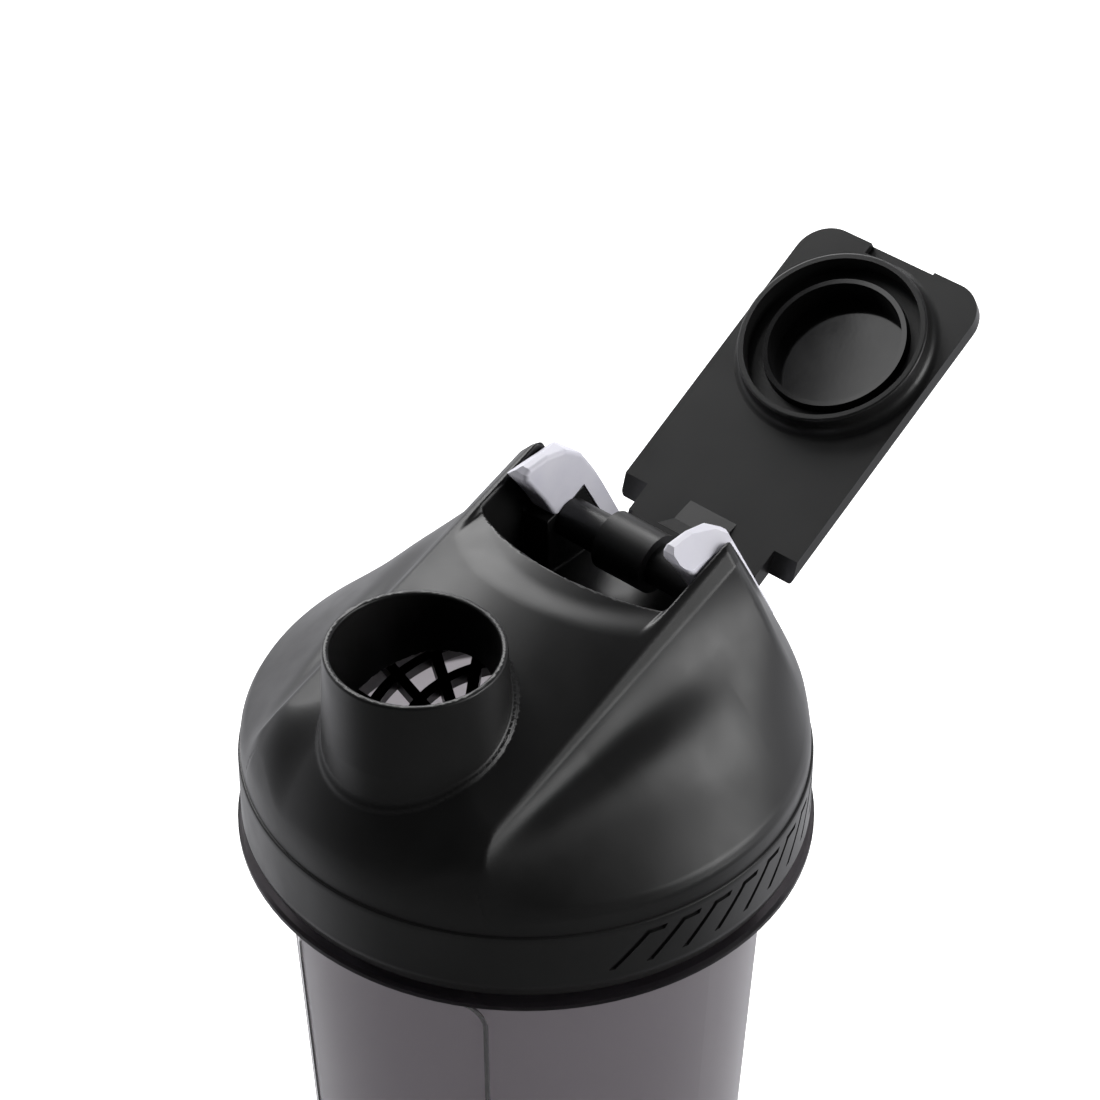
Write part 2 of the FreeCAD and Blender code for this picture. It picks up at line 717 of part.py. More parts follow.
def make_hinge_cover(label, side):
    """A white saddle over one hinge block: rounded nose, flat top and a leg down the back."""
    body = new_body(label, "0", "dims.crease_height")
    start = "dims.block_inner" if side > 0 else "-dims.cover_outer"
    sketch = new_sketch(body, "saddle_side", "YZ_Plane", start)
    draw_outline(sketch, [(str(back), str(height)) for back, height in COVER_OUTLINE])
    pad(body, "saddle", sketch, "dims.cover_outer - dims.block_inner")

    def top_edge(edge):
        middle = edge.CenterOfMass
        across = edge.BoundBox.XLength < 0.01
        return across and middle.z > 30.4 and middle.y < 38

    round_edges(body, "saddle_round", 0.8, top_edge)

    outside = new_sketch(body, "outside_the_dome", "XZ_Plane")
    flush = "dims.dome_radius + dims.cover_flush - dims.lean_ratio * (%s - dims.lean_start)"
    draw_outline(outside, [
        (flush % "dims.cover_trim_low", "dims.cover_trim_low"),
        (flush % "dims.cover_trim_high", "dims.cover_trim_high"),
        ("dims.dome_radius + 10", "dims.cover_trim_high"),
        ("dims.dome_radius + 10", "dims.cover_trim_low"),
    ])
    groove = body.newObject("PartDesign::Groove", "flush_back")
    groove.Profile = outside
    groove.ReferenceAxis = (outside, ["V_Axis"])
    groove.Angle = 360
    doc.recompute()

    slope = new_sketch(body, "outer_slope_outline", "XZ_Plane")
    sign = "" if side > 0 else "-"
    draw_outline(slope, [
        (f"{sign}dims.cover_slope_inner", "dims.cover_slope_top"),
        (f"{sign}dims.cover_outer", "dims.cover_slope_top - dims.cover_slope_drop"),
        (f"{sign}(dims.cover_outer + 2)", "dims.cover_slope_top - dims.cover_slope_drop"),
        (f"{sign}(dims.cover_outer + 2)", "dims.cover_slope_top + 2"),
        (f"{sign}dims.cover_slope_inner", "dims.cover_slope_top + 2"),
    ])
    pocket(body, "outer_slope", slope, "2 * dims.collar_radius", both_ways=True)
    return body


# ---------------------------------------------------------------------------------- strainer

def make_strainer():
    body = new_body("strainer", height="dims.crease_height")
    revolve(body, "rim", [
        ("dims.strainer_bore_radius", "dims.strainer_bottom"),
        ("dims.strainer_radius", "dims.strainer_bottom"),
        ("dims.strainer_radius", "dims.strainer_top"),
        ("dims.strainer_lip_radius + 0.6", "dims.strainer_top"),
        ("dims.strainer_bore_radius", "dims.strainer_top - 2.4"),
    ])
    grid_bottom = "dims.strainer_top - dims.grid_thickness"
    sketch = new_sketch(body, "ring_bar_circles", "XY_Plane", grid_bottom)
    for middle in GRID_RINGS:
        draw_circle(sketch, "0", "0", f"{middle} + dims.bar_width / 2")
        draw_circle(sketch, "0", "0", f"{middle} - dims.bar_width / 2")
    pad(body, "ring_bars", sketch, "dims.grid_thickness")
    hub = new_sketch(body, "hub_circles", "XY_Plane", grid_bottom)
    draw_circle(hub, "0", "0", "dims.hub_radius")
    for index in range(size["hub_hole_count"]):
        turn = f"{360 / size['hub_hole_count'] * index} deg"
        draw_circle(hub, f"dims.hub_hole_circle * cos({turn})",
                    f"dims.hub_hole_circle * sin({turn})", "dims.hub_hole_radius")
    pad(body, "hub", hub, "dims.grid_thickness")
    bar = new_sketch(body, "bar_outline", "XY_Plane", grid_bottom)
    bar_end = "-dims.strainer_lip_radius"
    draw_outline(bar, [
        ("dims.bar_offset - dims.bar_width / 2", "0"),
        ("dims.bar_offset + dims.bar_width / 2", "0"),
        ("dims.bar_offset + dims.bar_width / 2", bar_end),
        ("dims.bar_offset - dims.bar_width / 2", bar_end),
    ])
    first_bar = pad(body, "bar", bar, "dims.grid_thickness")
    pattern = body.newObject("PartDesign::PolarPattern", "bars")
    pattern.Originals = [first_bar]
    pattern.Axis = (bar, ["N_Axis"])
    pattern.Angle = 360
    pattern.setExpression("Occurrences", "dims.bar_count")
    body.Tip = pattern
    doc.recompute()
    return body


def make_lid_seal():
    body = new_body("lid_seal", height="dims.crease_height")
    revolve(body, "seal_ring", [
        ("dims.seal_inner_radius", "dims.rim_height + 0.05"),
        ("dims.seal_outer_radius", "dims.rim_height + 0.05"),
        ("dims.seal_outer_radius", "dims.shelf_bottom - 0.05"),
        ("dims.seal_inner_radius", "dims.shelf_bottom - 0.05"),
    ])
    return body


pieces = [
    make_cup(),
    make_lid_seal(),
    make_lid(),
    make_strainer(),
    make_hinge_pin(),
    make_hinge_cover("hinge_cover_left", -1),
    make_hinge_cover("hinge_cover_right", 1),
    make_flip_cap(),
    make_spout_plug(),
]
doc.recompute()

for item in doc.Objects:
    if "Invalid" in item.State or "Error" in item.State:
        raise RuntimeError(f"{item.Name} did not recompute")
for piece in pieces:
    if piece.Shape.isNull() or not piece.Shape.isValid():
        raise RuntimeError(f"{piece.Label} has no valid shape")

os.makedirs("parts", exist_ok=True)
for piece in pieces:
    piece.Shape.exportStep(f"parts/{piece.Label}.step")
    print(piece.Label, len(piece.Shape.Solids), "solids", round(piece.Shape.Volume), "mm3")
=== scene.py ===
"""Looks for the protein shaker bottle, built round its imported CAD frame.

Metres, z up, with the bottle's axis on z.
"""

import math

import bmesh
import bpy
import numpy as np
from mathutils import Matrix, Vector


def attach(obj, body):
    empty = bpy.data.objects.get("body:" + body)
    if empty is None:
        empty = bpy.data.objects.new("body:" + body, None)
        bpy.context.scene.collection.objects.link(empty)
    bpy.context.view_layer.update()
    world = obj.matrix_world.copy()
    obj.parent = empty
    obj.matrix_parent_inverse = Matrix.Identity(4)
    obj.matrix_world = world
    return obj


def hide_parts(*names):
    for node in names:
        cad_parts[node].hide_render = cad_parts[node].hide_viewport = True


MM = 0.001
# Height of the line where the lid's collar ends and its dome begins.
CREASE = 0.18
# The cup's flange, from just under it to just inside it, measured down from the crease.
FLANGE_UNDER = 0.0167
FLANGE_INSIDE = 0.0155

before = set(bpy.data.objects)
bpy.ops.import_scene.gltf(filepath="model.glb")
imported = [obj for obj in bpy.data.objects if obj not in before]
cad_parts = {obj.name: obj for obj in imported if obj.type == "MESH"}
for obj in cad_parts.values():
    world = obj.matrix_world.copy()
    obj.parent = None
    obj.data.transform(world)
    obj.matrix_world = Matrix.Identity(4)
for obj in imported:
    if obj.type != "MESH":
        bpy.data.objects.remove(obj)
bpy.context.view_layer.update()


def linear(level):
    """sRGB level 0-255 as scene-linear."""
    c = level / 255
    return c / 12.92 if c <= 0.04045 else ((c + 0.055) / 1.055) ** 2.4


def grey(r, g=None, b=None):
    return (linear(r), linear(r if g is None else g), linear(r if b is None else b), 1)


class Finish:
    """A Principled material with small procedural changes of colour, roughness and surface."""

    def __init__(self, name, colour, roughness, **sockets):
        self.material = bpy.data.materials.new(name)
        self.material.use_nodes = True
        tree = self.material.node_tree
        self.new, self.link = tree.nodes.new, tree.links.new
        self.shader = tree.nodes["Principled BSDF"]
        self.shader.inputs["Base Color"].default_value = colour
        self.shader.inputs["Roughness"].default_value = roughness
        for socket, value in sockets.items():
            self.shader.inputs[socket.replace("_", " ")].default_value = value
        self.place = self.new("ShaderNodeTexCoord").outputs["Object"]

    def noise(self, size, detail=2.0, roughness=0.5, stretch=(1, 1, 1)):
        """A noise pattern of about that feature size in metres."""
        scale = self.new("ShaderNodeMapping")
        scale.inputs["Scale"].default_value = stretch
        self.link(self.place, scale.inputs["Vector"])
        node = self.new("ShaderNodeTexNoise")
        node.inputs["Scale"].default_value = 1 / size
        node.inputs["Detail"].default_value = detail
        node.inputs["Roughness"].default_value = roughness
        self.link(scale.outputs["Vector"], node.inputs["Vector"])
        return node.outputs["Fac"]

    def spread(self, pattern, low, high):
        """The pattern's middle half mapped to low..high."""
        node = self.new("ShaderNodeMapRange")
        node.inputs["From Min"].default_value = 0.3
        node.inputs["From Max"].default_value = 0.7
        node.inputs["To Min"].default_value = low
        node.inputs["To Max"].default_value = high
        self.link(pattern, node.inputs["Value"])
        return node.outputs["Result"]

    def vary_roughness(self, pattern, low, high):
        self.link(self.spread(pattern, low, high), self.shader.inputs["Roughness"])

    def vary_colour(self, pattern, one, other):
        node = self.new("ShaderNodeMix")
        node.data_type = "RGBA"
        node.inputs["A"].default_value = one
        node.inputs["B"].default_value = other
        self.link(self.spread(pattern, 0, 1), node.inputs["Factor"])
        self.link(node.outputs["Result"], self.shader.inputs["Base Color"])

    def bump(self, *layers):
        """Layers of (pattern, depth in metres), one over the other."""
        normal = None
        for pattern, depth in layers:
            node = self.new("ShaderNodeBump")
            node.inputs["Strength"].default_value = 1.0
            node.inputs["Distance"].default_value = depth
            self.link(pattern, node.inputs["Height"])
            if normal is not None:
                self.link(normal, node.inputs["Normal"])
            normal = node.outputs["Normal"]
        self.link(normal, self.shader.inputs["Normal"])


def black(name, dark, light, rough, grain, **sockets):
    f = Finish(name, grey(dark), rough[0], **sockets)
    f.vary_colour(f.noise(0.02, 3), grey(dark), grey(light))
    f.vary_roughness(f.noise(0.008, 4), *rough)
    f.bump((f.noise(0.0007, 2), grain), (f.noise(0.02, 1), 0.00003))
    return f.material


lid_black = black("lid_black", 20, 24, (0.34, 0.42), 0.000006, Specular_IOR_Level=0.4)
cap_black = black("cap_black", 20, 24, (0.36, 0.44), 0.000006, Specular_IOR_Level=0.4)
plug_black = black("plug_black", 16, 18, (0.06, 0.10), 0.000001)
strainer_black = black("strainer_black", 22, 26, (0.32, 0.40), 0.000004)

white = Finish("cover_white", grey(226, 225, 234), 0.45, Specular_IOR_Level=0.5)
white.vary_colour(white.noise(0.006, 3), grey(222, 221, 232), grey(230, 229, 237))
white.vary_roughness(white.noise(0.003, 3), 0.42, 0.52)
white.bump((white.noise(0.0006, 2), 0.000008))

rubber = Finish("seal_rubber_grey", grey(120), 0.7)
rubber.vary_colour(rubber.noise(0.004, 3), grey(112), grey(126))
rubber.vary_roughness(rubber.noise(0.002, 3), 0.62, 0.78)
rubber.bump((rubber.noise(0.0005, 3), 0.00002))

steel = Finish("pin_steel_bright", grey(190), 0.25, Metallic=1.0)
steel.vary_roughness(steel.noise(0.0004, 3, stretch=(0.02, 1, 1)), 0.18, 0.35)
steel.vary_colour(steel.noise(0.003, 2), grey(180), grey(198))

smoke = Finish(
    "smoke_cup", grey(140, 136, 140), 0.3, Transmission_Weight=0.8, IOR=1.2
)
smoke.vary_roughness(smoke.noise(0.05, 1), 0.29, 0.31)
# The flange and the neck above it are painted darker than the wall: partly a darker tone for the thick
# plastic, partly painted shade under the lid's collar.
split = smoke.new("ShaderNodeSeparateXYZ")
flange_thick_and_shade = smoke.new("ShaderNodeMapRange")
smoke.link(smoke.place, split.inputs["Vector"])
smoke.link(split.outputs["Z"], flange_thick_and_shade.inputs["Value"])
flange_thick_and_shade.inputs["From Min"].default_value = CREASE - FLANGE_UNDER
flange_thick_and_shade.inputs["From Max"].default_value = CREASE - FLANGE_INSIDE
smoke.vary_colour(flange_thick_and_shade.outputs["Result"], grey(146, 142, 146), grey(40, 38, 40))

border_smoke = Finish("smoke_border", grey(70, 68, 70), 0.22, Transmission_Weight=0.6, IOR=1.3)
border_smoke.vary_roughness(border_smoke.noise(0.01, 2), 0.2, 0.26)
border_smoke.vary_colour(border_smoke.noise(0.01, 2), grey(64, 62, 64), grey(74, 72, 74))

FINISHES = {
    "smoke_plastic": smoke.material,
    "black_plastic": lid_black,
    "cap_plastic": cap_black,
    "strainer_plastic": strainer_black,
    "gloss_black": plug_black,
    "white_plastic": white.material,
    "seal_rubber": rubber.material,
    "pin_steel": steel.material,
}
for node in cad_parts.values():
    for socket in node.material_slots:
        key = socket.material.name.split(".")[0]
        socket.link = "OBJECT"
        socket.material = FINISHES[key]


# ---- the lid as one smooth moulded shell ----
# Millimetres, with heights counted from the crease between the collar and the dome. A field is
# negative inside the solid and roughly the distance to its surface.

DOME_RADIUS = 48.6
DOME_LEAN = 0.46
LEAN_START = 7.0
LEAN_SOFTNESS = 2.2
DECK_HEIGHT = 32.5
DECK_SLOPE = 0.335
DECK_CROWN = 4.4
SHELF_CENTRE = 29.2
SHELF_RADIUS = 32.0
SHELF_DROP = 1.4
HORN_FACE = 21.1
RIDGE_INNER = 22.4
RIDGE_INNER_HEIGHT = 28.1
RIDGE = 23.9
RIDGE_HEIGHT = 26.6
RIDGE_SLOPE = 0.32
STRIP_REACH = 24.2
PANEL_FOOT = 4.0
PANEL_REACH = 27.4
POCKET_CENTRE = 45.0
POCKET_RADIUS = 38.6
POCKET_HALF_WIDTH = 20.5
POCKET_FLOOR = 14.0
RECESS_FRONT = 39.6
RECESS_FLOOR = 12.4
SHELL = 2.4
SPOUT_BACK = -26.6
SPOUT_RIM = 36.75
SPOUT_ROOT_RADIUS = 15.7
SPOUT_RIM_RADIUS = 15.05
SPOUT_BORE = 13.95
SPOUT_RING = 16.5
SKIRT_MIDDLE = 39.7
SKIRT_BOTTOM = -7.5
LEDGE_MIDDLE = 43.8
BLOCK_MIDDLE = 17.9
RIB_MIDDLE = 10
BLOCK_BOTTOM = 12.5
# Width of the flat band along the edge between the dome and a side panel.
BAND = 1.7
# The field's box, and the size of its cells.
NET_LOW = (-50, -50, -9)
NET_HIGH = (50, 50, 39)
NET_STEP = 0.5


def rounded_max(a, b, r):
    """Intersection of two fields with its edge rounded to radius r."""
    return np.minimum(np.maximum(a, b), -r) + np.hypot(
        np.maximum(a + r, 0), np.maximum(b + r, 0)
    )


def rounded_min(a, b, r):
    return -rounded_max(-a, -b, r)


def smooth(t):
    t = np.clip(t, 0, 1)
    return t * t * (3 - 2 * t)


def deck_height(x, y):
    crown = DECK_CROWN * (x / RIDGE_INNER) ** 2
    behind_step = SHELF_RADIUS - np.hypot(x, y - SHELF_CENTRE)
    between_horns = smooth((HORN_FACE - np.abs(x)) / 1.3)
    step = SHELF_DROP * smooth(behind_step / 6.5) * between_horns
    return DECK_HEIGHT + DECK_SLOPE * y - crown - step


def panel_reach(y):
    """Distance of the dome's foot from the plane of symmetry, at least PANEL_REACH."""
    return np.sqrt(np.maximum(DOME_RADIUS**2 - y**2, PANEL_REACH**2))


def panel_height(ax, y):
    """Side panel: a scoop under the ridge, a soft crest that runs out to the back, then a long fall."""
    top = RIDGE_HEIGHT + RIDGE_SLOPE * y
    span = panel_reach(y) - RIDGE
    d = ax - RIDGE
    crest = np.minimum(8.6 + 0.17 * y, 0.5 * span)
    back = smooth((y + 46) / 30)
    scoop = np.minimum(1.9, 0.3 * crest) * (0.35 + 0.65 * back)
    low = 0.42 * crest
    near = np.maximum(d / low, 0)
    valley = -scoop * (near * np.exp(1 - near) + math.e * np.minimum(d / low, 0))
    swell = np.minimum(1.0, 0.14 * crest) * back * np.exp(-(((d - crest) / (0.42 * crest + 0.8)) ** 2))
    return top - (top - PANEL_FOOT) * d / span + valley + swell


def lid_outside(x, y, z):
    """The lid's outer form, its deck and dome alone, and the hollow under its walls."""
    ax, radius = np.abs(x), np.hypot(x, y)
    past = (z - LEAN_START) / LEAN_SOFTNESS
    lean = LEAN_SOFTNESS * np.log1p(np.exp(np.minimum(past, 30)))
    body = (radius - DOME_RADIUS + DOME_LEAN * lean) * 0.94
    deck = (z - deck_height(x, y)) * 0.94
    rounding = (9.0 - 6.5 * smooth((y + 18) / 30)) * (1 - 0.6 * smooth((ax - 12) / 11))
    top = rounded_max(deck, body, rounding)
    panel = panel_height(ax, y)
    fall = (panel_height(ax + 0.05, y) - panel) / 0.05
    climb = (panel_height(ax, y + 0.05) - panel) / 0.05
    steep = np.sqrt(1 + fall**2 + climb**2)
    side = (z - panel) / steep
    tilt = DOME_LEAN / (1 + np.exp(np.clip(-past, -30, 30)))
    along = (tilt - (fall * ax + climb * y) / radius.clip(1)) / steep
    # The 45 degree strip along the ridge, kept to the ridge itself.
    strip = ax - 3 * np.maximum(ax - STRIP_REACH, 0) + z - RIDGE_INNER - RIDGE_INNER_HEIGHT
    side = rounded_max(side, (strip - RIDGE_SLOPE * y) * 0.69, 0.12)
    # The sine of half the angle between the two normals keeps the band one width.
    half_sine = np.sqrt((1 - along * 0.94).clip(0.02) / 2)
    band = (body + side + BAND * half_sine) / (2 * np.sqrt(1.01 - half_sine**2))
    solid = rounded_max(rounded_max(top, side, 0.2), band, 0.15)
    drum = np.maximum(np.hypot(x, y - POCKET_CENTRE) - POCKET_RADIUS, POCKET_FLOOR - z)
    recess = np.maximum(RECESS_FRONT - y, RECESS_FLOOR - z)
    pocket = np.maximum(ax - POCKET_HALF_WIDTH, np.minimum(drum, recess))
    ridge = RIDGE_HEIGHT + RIDGE_SLOPE * y
    drop = (ridge - PANEL_FOOT) / (panel_reach(y) - RIDGE)
    under = (z - ridge + 4.2 + drop * (ax - RIDGE + 2.6)) * 0.7
    deep = np.maximum(np.maximum(top + SHELL, under), SHELL - pocket)
    return rounded_max(solid, -pocket, 0.45), top, deep


def hinge_blocks(x, y, z):
    """The two blocks that hold the pin, each with a rib beside it."""
    ax = np.abs(x)
    block = np.maximum(np.abs(ax - BLOCK_MIDDLE) - 3.0, 22.6 - y)
    block = np.maximum(block, (z - 25.8 - 0.27 * (y - 23.4)) * 0.96)
    block = np.maximum(block, (y + 0.513 * z - 46.5) * 0.89)
    rib_top = np.minimum(21 - 0.67 * (y - 12), 19 - 0.345 * (y - 15))
    rib = np.maximum(np.abs(ax - RIB_MIDDLE) - 0.8, z - rib_top)
    rib = np.maximum(rib, np.maximum(10 - y, y - 26))
    return np.maximum(np.minimum(block, rib), BLOCK_BOTTOM - z)


def lid_field(x, y, z):
    """The whole lid above its collar: shell, skirt, ledge, hinge blocks and spout."""
    radius = np.hypot(x, y)
    outside, top, deep = lid_outside(x, y, z)
    shell = np.maximum(np.maximum(outside, -deep), -0.6 - z)
    skirt = np.maximum(np.abs(radius - SKIRT_MIDDLE) - 1.1, np.maximum(SKIRT_BOTTOM - z, outside))
    ledge = np.maximum(np.abs(radius - LEDGE_MIDDLE) - 3.8, np.abs(z - 1.1) - 0.9)
    shell = np.minimum(np.minimum(shell, skirt), ledge)
    shell = rounded_min(shell, hinge_blocks(x, y, z), 0.4)
    spout = np.hypot(x, y - SPOUT_BACK)
    wall = spout - np.interp(z, (22, SPOUT_RIM), (SPOUT_ROOT_RADIUS, SPOUT_RIM_RADIUS))
    tube = np.maximum(rounded_max(wall, z - SPOUT_RIM, 0.35), -deep)
    ring = np.maximum(rounded_max(spout - SPOUT_RING, top - 0.5, 0.35), -deep)
    shell = rounded_min(rounded_min(shell, ring, 0.3), tube, 0.5)
    bore = np.maximum(spout - SPOUT_BORE, 6 - z)
    return rounded_max(shell, -bore, 0.3)


def net(field, low, high, step):
    """Surface net of a field on a regular grid: vertices and quads, drawn onto the field's zero."""
    axes = [np.arange(a, b + step, step) for a, b in zip(low, high)]
    grid = field(*np.meshgrid(*axes, indexing="ij"))
    inside = grid < 0
    shape = np.array(grid.shape) - 1
    corners = [(i, j, k) for i in (0, 1) for j in (0, 1) for k in (0, 1)]

    def corner(values, c):
        return values[tuple(slice(o, o + n) for o, n in zip(c, shape))]

    count = sum(corner(inside, c).astype(np.int8) for c in corners)
    cells = np.argwhere((count > 0) & (count < 8))
    number = np.full(shape, -1)
    number[tuple(cells.T)] = np.arange(len(cells))
    total, hits = np.zeros((len(cells), 3)), np.zeros(len(cells))
    for a in corners:
        for axis in range(3):
            if a[axis]:
                continue
            b = tuple(o + (1 if i == axis else 0) for i, o in enumerate(a))
            va = grid[tuple((cells + a).T)]
            vb = grid[tuple((cells + b).T)]
            cross = (va < 0) != (vb < 0)
            t = np.where(cross, va / np.where(cross, va - vb, 1), 0)
            place = np.array(a, float)[None, :] + t[:, None] * np.eye(3)[axis]
            total += place * cross[:, None]
            hits += cross
    points = (cells + total / hits[:, None]) * step + np.array(low)
    quads = []
    for axis in range(3):
        u, v = (axis + 1) % 3, (axis + 2) % 3
        a = np.moveaxis(inside, axis, 0)
        change = np.moveaxis(a[:-1] != a[1:], 0, axis)
        edge = np.argwhere(change)
        whole = (edge[:, u] > 0) & (edge[:, v] > 0) & (edge[:, u] < shape[u]) & (edge[:, v] < shape[v])
        edge = edge[whole]
        du, dv = np.eye(3, dtype=int)[u], np.eye(3, dtype=int)[v]
        ring = [number[tuple((edge - s).T)] for s in (du + dv, dv, 0 * du, du)]
        face = np.stack(ring, 1)
        outward = inside[tuple(edge.T)]
        quads.append(np.where(outward[:, None], face, face[:, ::-1]))
    for _ in range(4):
        slope = gradient(field, points)
        size = np.maximum((slope**2).sum(1), 0.05)
        move = field(*points.T)[:, None] * slope / size[:, None]
        points -= np.clip(move, -0.5 * step, 0.5 * step)
    return points, np.concatenate(quads), gradient(field, points)


def gradient(field, points, h=0.04):
    """The field's slope at each point, by central differences."""
    return np.stack(
        [(field(*(points + h * e).T) - field(*(points - h * e).T)) / (2 * h) for e in np.eye(3)], 1
    )


def joined(parts):
    """Several (points, faces) lists as one."""
    points, faces, first = [], [], 0
    for part_points, part_faces in parts:
        points += [tuple(p) for p in part_points]
        faces += [tuple(i + first for i in f) for f in part_faces]
        first = len(points)
    return points, faces


def lattice(rows, columns, place, closed=False):
    """Points place(row, column) and the quads between them."""
    points = [place(r, c) for r in rows for c in columns]
    n = len(columns)
    faces = []
    for r in range(len(rows) - 1):
        for c in range(n if closed else n - 1):
            d = (c + 1) % n
            faces.append((r * n + c, r * n + d, (r + 1) * n + d, (r + 1) * n + c))
    return points, faces


def mesh_object(name, points, faces, material, normals=None):
    """An object from millimetre points counted from the crease."""
    mesh = bpy.data.meshes.new(name)
    points = (np.array(points) + np.array((0, 0, CREASE / MM))) * MM
    mesh.from_pydata(points.tolist(), [], [list(f) for f in faces])
    mesh.validate()
    mesh.materials.append(material)
    mesh.shade_smooth()
    if normals is not None:
        length = np.maximum(np.linalg.norm(normals, axis=1), 1e-9)
        mesh.normals_split_custom_set_from_vertices((normals / length[:, None]).tolist())
    o = bpy.data.objects.new(name, mesh)
    bpy.context.scene.collection.objects.link(o)
    return o


step = NET_STEP
points, faces, normals = net(lid_field, NET_LOW, NET_HIGH, step)
lid_dome = mesh_object("lid_dome", points, faces, lid_black, normals)
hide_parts("lid_shell")
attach(lid_dome, "lid")

# ---- the collar, with its bent grooves ----
COLLAR = 49.0
COLLAR_BORE = 46.8
COLLAR_CELL = 0.8
GROOVE_DEPTH = 0.5
GROOVE_FIRST, GROOVE_PITCH, GROOVE_COUNT = -31.8, 7.8, 9
STROKE_LOW, STROKE_HIGH = -8.9, -2.45
STROKE_LEAN = 6.4
HALF_FOOT = 0.375
HALF_STROKE = 0.525
FOOT_LENGTH = 3.3
GROOVE_WALL = 0.1
# Slack for comparing a row or column with a groove's edge.
SLACK = 0.01


def filled(marks):
    """The marks with even steps of at most one cell between them, without the last mark."""
    values = []
    for a, b in zip(marks, marks[1:]):
        pieces = max(1, math.ceil((b - a) / COLLAR_CELL))
        values += [a + (b - a) * i / pieces for i in range(pieces)]
    return values


def groove_start(k):
    return COLLAR * math.radians(GROOVE_FIRST + GROOVE_PITCH * k)


def collar_columns():
    """Distances along the collar, with lines at each groove's edges."""
    edges = (-HALF_STROKE - GROOVE_WALL, -HALF_STROKE, 0, HALF_STROKE, HALF_STROKE + GROOVE_WALL,
             FOOT_LENGTH, FOOT_LENGTH + GROOVE_WALL)
    quarter = COLLAR * math.pi / 2
    marks = [groove_start(k) + edge for k in range(GROOVE_COUNT) for edge in edges]
    return [*filled([-quarter, *marks, quarter]), quarter]


def collar_rows():
    """(radius, height) round the collar's section; the outer wall has rows at the grooves' edges."""
    low, high = STROKE_HIGH - HALF_FOOT, STROKE_HIGH + HALF_FOOT
    marks = [-11.2, STROKE_LOW - GROOVE_WALL, STROKE_LOW, low - GROOVE_WALL, low,
             high, high + GROOVE_WALL, -0.5]
    section = [(COLLAR_BORE, -0.2), (COLLAR_BORE, -13.2), (47.0, -13.4), (48.0, -13.4),
               (48.35, -13.2), (48.85, -11.6)]
    section += [(COLLAR, z) for z in [*filled(marks), -0.5]]
    return [*section, (48.93, -0.22), (48.75, -0.06), (48.5, 0.0), (46.9, 0.0), (COLLAR_BORE, -0.2)]


def groove_depth(along, height):
    """How deep the collar is cut at a place given along the leaning stroke."""
    for k in range(GROOVE_COUNT):
        u = along - groove_start(k)
        rising = STROKE_LOW - SLACK < height < STROKE_HIGH + HALF_FOOT + SLACK
        stroke = abs(u) < HALF_STROKE + SLACK and rising
        foot = -SLACK < u < FOOT_LENGTH + SLACK and abs(height - STROKE_HIGH) < HALF_FOOT + SLACK
        if stroke or foot:
            return GROOVE_DEPTH
    return 0.0


def collar_place(row, along, side):
    """A point of the collar; the columns lean with the grooves and stand up again at the seams."""
    radius, height = row
    lean = STROKE_LEAN * min(1, max(0, (height - STROKE_LOW) / (STROKE_HIGH + 0.05 - STROKE_LOW)))
    angle = along / COLLAR
    fade = min(1, max(0, (math.pi / 2 - abs(angle)) / 0.6))
    angle += lean * fade / COLLAR
    if radius == COLLAR:
        radius -= groove_depth(along, height)
    return side * radius * math.cos(angle), radius * math.sin(angle), height


def lid_thread(steps=96, turns=1.5, pitch=4.0):
    """The lid's inner screw thread: a tapered ridge wound inside the collar."""
    root, crest = 46.95, 45.0
    section = [(root, -1.2), (root, 1.2), (crest, 0.5), (crest, -0.5)]
    rows = range(int(steps * turns) + 1)

    def place(row, corner):
        ends = min(row, rows[-1] - row) / 8
        depth, up = section[corner]
        radius = root - (root - depth) * min(1, ends + 0.05)
        angle = 2 * math.pi * row / steps
        height = -9.6 + pitch * row / steps + up
        return radius * math.cos(angle), radius * math.sin(angle), height

    points, faces = lattice(rows, range(4), place, closed=True)
    last = len(points)
    return points, [*faces, (3, 2, 1, 0), (last - 4, last - 3, last - 2, last - 1)]


halves = []
rows, columns = collar_rows(), collar_columns()
for side in (1, -1):
    points, faces = lattice(rows, columns, lambda r, c: collar_place(r, c, side))
    halves.append((points, faces if side > 0 else [f[::-1] for f in faces]))
collar = mesh_object("lid_collar", *joined([*halves, lid_thread()]), lid_black)
bm = bmesh.new()
bm.from_mesh(collar.data)
bmesh.ops.remove_doubles(bm, verts=bm.verts, dist=1e-6)
bmesh.ops.recalc_face_normals(bm, faces=bm.faces)
bm.to_mesh(collar.data)
bm.free()
collar.data.set_sharp_from_angle(angle=math.radians(32))
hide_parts("lid_shell")
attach(collar, "lid")

# ---- the raised border of the cup's front panel ----
BORDER_HALF = 0.45
BORDER_HEIGHT = 0.3
BORDER_LOW = -150.0
BORDER_TOP = -23.0
BORDER_RIGHT = -57.8
BORDER_LEFT = -121.2
# A radius of the cup for turning short arcs into angles.
CUP_MIDDLE = 40


def cup_radius(height):
    """The cup's radius at a height from the crease."""
    return 42.2 + 0.0516 * (height + 16)


